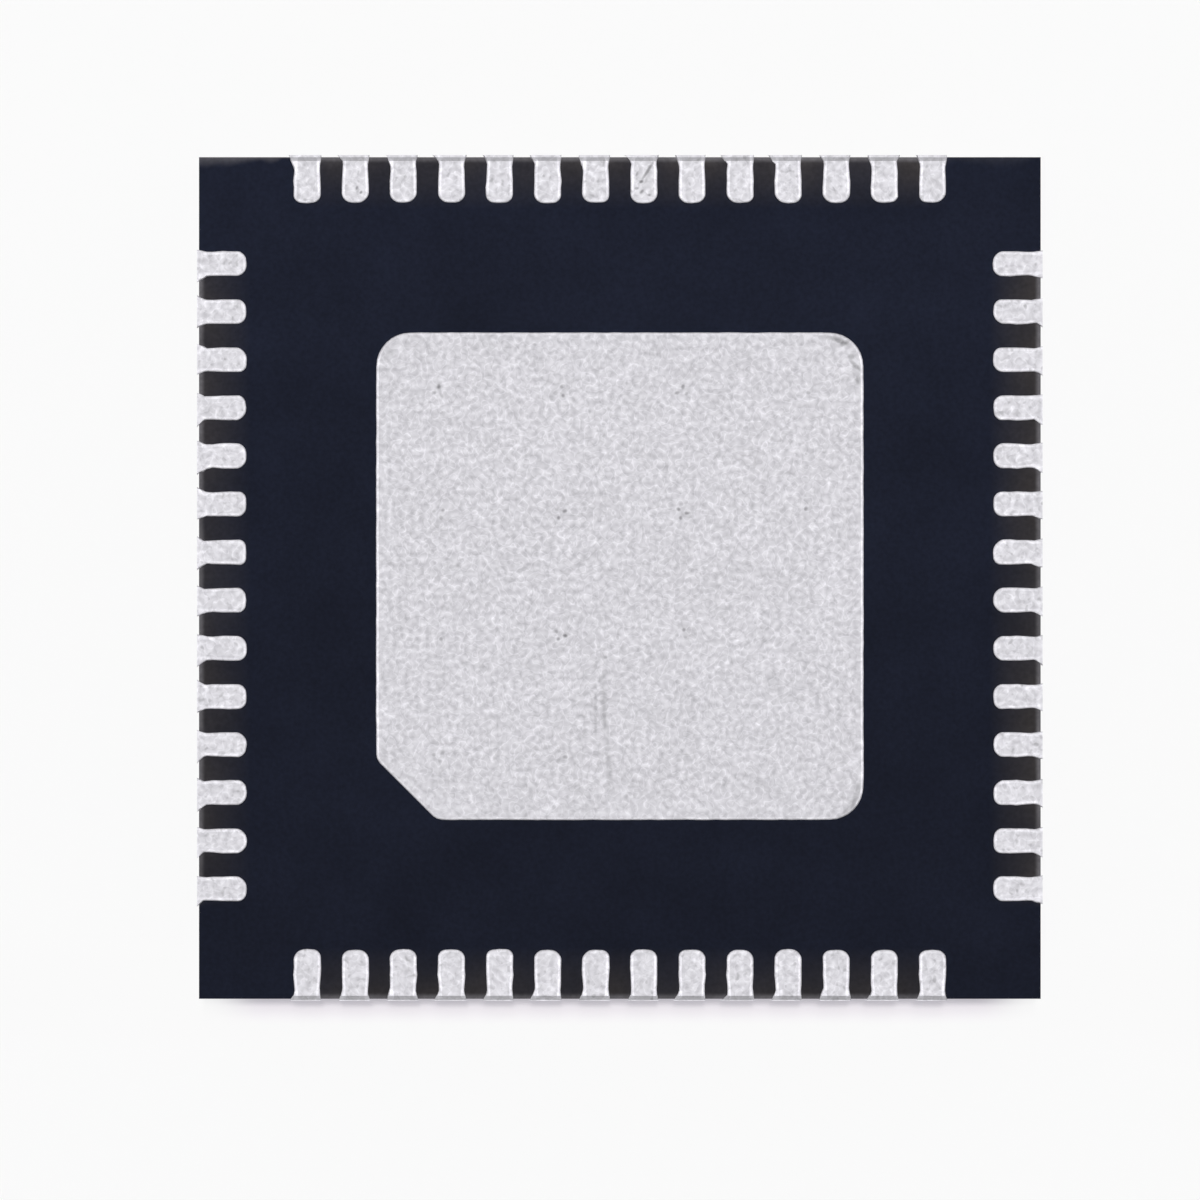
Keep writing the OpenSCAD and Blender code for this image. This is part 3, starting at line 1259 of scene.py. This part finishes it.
@dataclass(frozen=True)
class Strip:
    """A strip softbox that hangs over the top edge of the picture.

    Its angles are in radians and its reach is in millimetres. Its share is the brightness that it gives to
    white paper.
    """

    name: str
    tilt: float
    half_y: float
    share: float
    half_x: float = math.radians(1.2)
    reach: float = 300.0

    def build(self) -> None:
        """Hangs the softbox."""
        reach = self.reach * MM
        lamp = bpy.data.lights.new(self.name, "AREA")
        lamp.shape = "ELLIPSE"
        lamp.size = 2 * reach * math.tan(self.half_x)
        lamp.size_y = 2 * reach * math.tan(self.half_y)
        lamp.energy = self.share * math.pi**2 * reach**2 / math.cos(self.tilt)
        holder = bpy.data.objects.new(self.name, lamp)
        holder.location = (0, reach * math.sin(self.tilt), reach * math.cos(self.tilt))
        holder.rotation_euler = (-self.tilt, 0, 0)
        bpy.context.scene.collection.objects.link(holder)


STRIPS = (
    Strip("key_strip", tilt=math.radians(5.6), half_y=math.radians(2.0), share=0.585),
    Strip("soft_strip", tilt=math.radians(10.2), half_y=math.radians(5.6), share=0.36),
)


@dataclass(frozen=True)
class Studio:
    """Floor, light and camera. Lengths are in millimetres."""

    terminal_z: float
    half_body: float
    floor_r: float = 60.0
    wall_r: float = 140.0
    wall_h: float = 25.0
    wall_steps: int = 10
    floor_segments: int = 96
    floor_gap: float = 0.001
    paper: str = "#fafafa"
    shadow: str = "#bbb8bf"
    painted_shadow_tint: str = "#faf2fb"
    shadow_strip_w: float = 0.27
    shadow_fade: tuple[float, float] = (9.0, 18.0)
    shadow_ends: tuple[float, float] = (3.0, 3.5)
    ends_share: float = 0.85
    sky_share: float = 0.05
    lens: float = 200.0
    sensor: float = 36.0
    frame_w: float = 9.977
    look_x: float = -0.165
    look_y: float = -0.183
    sight: float = 1400.0

    def floor_material(self) -> Material:
        """Makes white paper: the camera and mirrors see it evenly white, apart from the shadow by the object.

        Beside the block's side at -Y the floor takes a painted lilac tint of the shadow, and painted light
        lightens the shadow towards the ends of that side.

        Returns:
            The material.
        """
        material, tree, place = new_material("white_paper")
        path = add_node(tree, "LightPath").outputs
        seen = add_node(tree, "Math", (path["Is Camera Ray"], path["Is Glossy Ray"]), operation="MAXIMUM")
        seen = add_node(tree, "Math", (seen, path["Is Transmission Ray"]), operation="MAXIMUM")
        white = linear(self.paper)
        glow = linear(self.shadow)
        axes = add_node(tree, "SeparateXYZ", (place,)).outputs
        # A painted lilac tint of the shadow, in a strip beside the block's side at -Y.
        below = add_node(tree, "Math", (axes["Y"], self.half_body), operation="ADD")
        below = add_node(tree, "Math", (below,), operation="ABSOLUTE")
        beside = add_node(tree, "MapRange", (below, 0.0, self.shadow_strip_w, 1.0, 0.0))
        wide = add_node(tree, "Math", (axes["X"],), operation="ABSOLUTE")
        edges = (wide, *self.shadow_ends, 1.0, 0.0)
        middle = add_node(tree, "MapRange", edges, interpolation_type="SMOOTHSTEP")
        beside = add_node(tree, "Math", (beside, middle), operation="MULTIPLY")
        tints = {0: beside, 6: white, 7: linear(self.painted_shadow_tint)}
        tint = add_node(tree, "Mix", tints, data_type="RGBA").outputs[2]
        rest = add_node(tree, "VectorMath", (tint, glow[:3]), operation="SUBTRACT")
        paper = add_node(tree, "BsdfDiffuse", {"Color": white})
        lit = add_node(tree, "BsdfDiffuse", {"Color": rest})
        fill = add_node(tree, "Emission", {"Color": glow})
        close = add_node(tree, "AddShader", (lit, fill))
        even = add_node(tree, "Emission", {"Color": white})
        away = add_node(tree, "VectorMath", (place,), operation="LENGTH").outputs["Value"]
        fade = add_node(tree, "MapRange", (away, *self.shadow_fade), interpolation_type="SMOOTHSTEP")
        # Painted light lightens the shadow towards the ends of the block's side at -Y.
        ends = add_node(tree, "MapRange", (middle, 0.0, 1.0, self.ends_share, 0.0))
        edges = (below, self.shadow_strip_w, 2 * self.shadow_strip_w, 1.0, 0.0)
        strip = add_node(tree, "MapRange", edges, interpolation_type="SMOOTHSTEP")
        ends = add_node(tree, "Math", (ends, strip), operation="MULTIPLY")
        fade = add_node(tree, "Math", (fade, ends), operation="MAXIMUM")
        shown = add_node(tree, "MixShader", (fade, close, even))
        surface = add_node(tree, "MixShader", (seen, paper, shown))
        add_node(tree, "OutputMaterial", {"Surface": surface})
        return material

    def build_floor(self) -> None:
        """Makes a sweep of paper: a level disc that curves up all round."""
        bm = bmesh.new()
        bmesh.ops.create_circle(bm, cap_ends=True, radius=self.floor_r, segments=self.floor_segments)
        bmesh.ops.translate(bm, vec=(0, 0, -self.floor_gap), verts=bm.verts)
        rim = [e for e in bm.edges if e.is_boundary]
        for step in range(1, self.wall_steps + 1):
            turn = math.pi / 2 * step / self.wall_steps
            radius = self.floor_r + (self.wall_r - self.floor_r) * math.sin(turn)
            height = self.wall_h * (1 - math.cos(turn))
            made = bmesh.ops.extrude_edge_only(bm, edges=rim)["geom"]
            rim = [e for e in made if isinstance(e, BMEdge) and e.is_boundary]
            for vert in verts_of(made):
                vert.co.xy = vert.co.xy.normalized() * radius
                vert.co.z = height
        bmesh.ops.recalc_face_normals(bm, faces=bm.faces)
        bmesh.ops.scale(bm, vec=(MM, MM, MM), verts=bm.verts)
        mesh = bpy.data.meshes.new("paper_sweep")
        bm.to_mesh(mesh)
        bm.free()
        mesh.materials.append(self.floor_material())
        floor = bpy.data.objects.new("paper_sweep", mesh)
        bpy.context.scene.collection.objects.link(floor)

    def build_light(self) -> None:
        """Hangs the softboxes and fills in with a faint even sky."""
        for strip in STRIPS:
            strip.build()
        world = bpy.data.worlds.new("even_sky")
        world.use_nodes = True
        sky = world.node_tree.nodes["Background"]
        sky.inputs["Color"].default_value = (1, 1, 1, 1)
        sky.inputs["Strength"].default_value = self.sky_share
        bpy.context.scene.world = world

    def build_camera(self) -> None:
        """Looks straight down on the terminal side."""
        lens = bpy.data.cameras.new("camera")
        lens.lens = self.lens
        lens.sensor_width = self.sensor
        lens.clip_start = MM
        lens.clip_end = self.sight * MM
        camera = bpy.data.objects.new("camera", lens)
        height = self.terminal_z + self.frame_w * self.lens / self.sensor
        camera.location = Vector((self.look_x, self.look_y, height)) * MM
        bpy.context.scene.collection.objects.link(camera)
        bpy.context.scene.camera = camera

    def build(self) -> None:
        """Sets up the whole studio."""
        self.build_floor()
        self.build_light()
        self.build_camera()
        bpy.context.scene.view_settings.view_transform = "Standard"


def dress_nodes(nodes: dict[str, Object], package: Package) -> None:
    """Gives the CAD nodes that stay their materials.

    Args:
        nodes: CAD objects by name.
        package: Shared sizes.
    """
    finishes = {
        "mold_body": MouldCompound(package.half_body, package.mould_z),
        "die": InnerFinish(
            "silicon_ground_and_polished", "#565c68", metallic=0.0, roughness=0.3, blotch=0.8
        ),
        "bond_wires": InnerFinish("gold_wire_drawn", "#e6b65c", metallic=1.0, roughness=0.25, blotch=0.05),
    }
    for name, finish in finishes.items():
        nodes[name].data.materials.clear()
        nodes[name].data.materials.append(finish.material())
        LOG.info("%s: CAD node in %s", name, finish.name)


def main() -> None:
    """Builds the studio and dresses every piece of the chip."""
    logging.basicConfig(level=logging.INFO, format="%(message)s")
    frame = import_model()
    package = Package.from_frame()
    Studio(package.body_h, package.half_body).build()
    copper = SawnCopper().material()
    pad_tin = MattTin("tin_electroplated_matt_pad", SocketPins().marks() + PAD_SCUFFS).material()
    land_tin = MattTin(
        "tin_electroplated_matt_lands", LAND_SCRATCHES, colour="#dcdbdf", grain_swing=0.05, pore_depth=0.18
    ).material()
    dress_nodes(frame["nodes"], package)
    compound = frame["nodes"]["mold_body"].data.materials[0]
    PlatedPaddle(package).build([pad_tin, copper])
    for number in range(1, len(Side) * package.per_side + 1):
        PlatedLead(package, number).build([land_tin, copper, compound])


if __name__ == "__main__":
    main()
